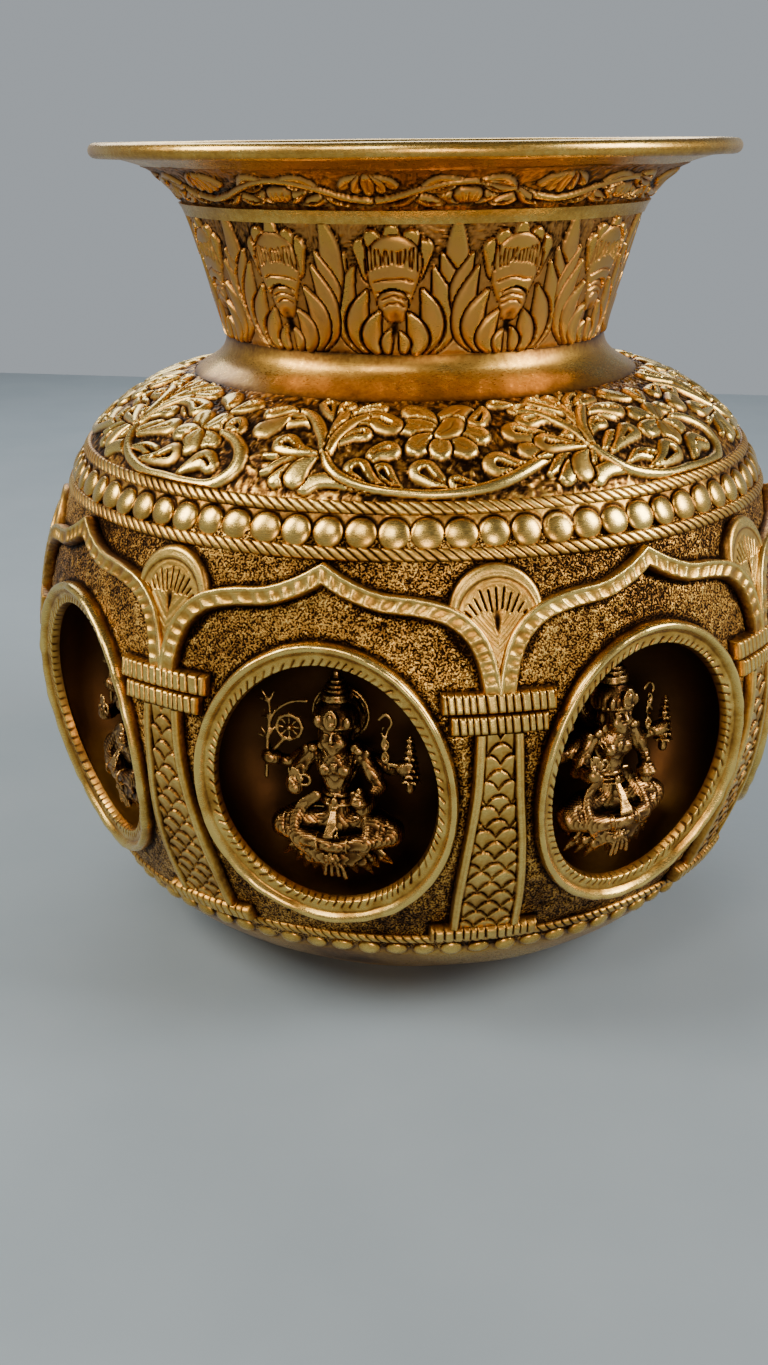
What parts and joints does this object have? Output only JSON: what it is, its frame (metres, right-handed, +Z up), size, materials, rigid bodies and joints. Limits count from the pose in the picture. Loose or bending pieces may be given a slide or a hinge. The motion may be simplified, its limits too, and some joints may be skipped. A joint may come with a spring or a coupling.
{
  "type": "brass kalash pot",
  "caption": "Round-bellied brass kalash pot with a ring of oval niches, each holding a seated cast figure, embossed shoulder and flared neck.",
  "frame": {"origin": "centre of the foot, on the surface that the pot stands on", "axes": "+Z up along the pot's axis, towards its mouth; niche 1 faces -Y, and the niches count on towards +X"},
  "size_m": [0.2016, 0.2016, 0.203],
  "materials": {
    "antique_brass": "antiqued, with dark recesses and rubbed golden high points",
    "polished_brass": "polished, slightly tarnished",
    "dark_figure_brass": "dark antique with rubbed highlights",
    "screw_brass": "plain turned",
    "washer_steel": "zinc plated"
  },
  "bodies": {
    "root": {"base_pan": "antique_brass", "belly_shell": "antique_brass", "shoulder_dome": "antique_brass", "neck_collar": "polished_brass", "neck_drum": "antique_brass", "neck_ring": "polished_brass", "neck_frieze": "antique_brass", "rim_flange": "polished_brass", "rim_bead": "polished_brass", "foot_bead_ring": "polished_brass", "foot_rope_ring": "antique_brass", "lower_rope_ring": "antique_brass", "band_bead_ring": "polished_brass", "upper_rope_ring": "antique_brass", "fans": "antique_brass", "figure_screws": "screw_brass", "screw_washers": "washer_steel", "window_frame_1": "polished_brass", "window_frame_2": "polished_brass", "window_frame_3": "polished_brass", "window_frame_4": "polished_brass", "window_frame_5": "polished_brass", "window_frame_6": "polished_brass", "window_frame_7": "polished_brass", "window_frame_8": "polished_brass", "niche_cup_1": "polished_brass", "niche_cup_2": "polished_brass", "niche_cup_3": "polished_brass", "niche_cup_4": "polished_brass", "niche_cup_5": "polished_brass", "niche_cup_6": "polished_brass", "niche_cup_7": "polished_brass", "niche_cup_8": "polished_brass", "pillar_1": "antique_brass", "pillar_2": "antique_brass", "pillar_3": "antique_brass", "pillar_4": "antique_brass", "pillar_5": "antique_brass", "pillar_6": "antique_brass", "pillar_7": "antique_brass", "pillar_8": "antique_brass", "arch_1": "antique_brass", "arch_2": "antique_brass", "arch_3": "antique_brass", "arch_4": "antique_brass", "arch_5": "antique_brass", "arch_6": "antique_brass", "arch_7": "antique_brass", "arch_8": "antique_brass", "figure_1": "dark_figure_brass", "figure_2": "dark_figure_brass", "figure_3": "dark_figure_brass", "figure_4": "dark_figure_brass", "figure_5": "dark_figure_brass", "figure_6": "dark_figure_brass", "figure_7": "dark_figure_brass", "figure_8": "dark_figure_brass"}
  },
  "joints": []
}
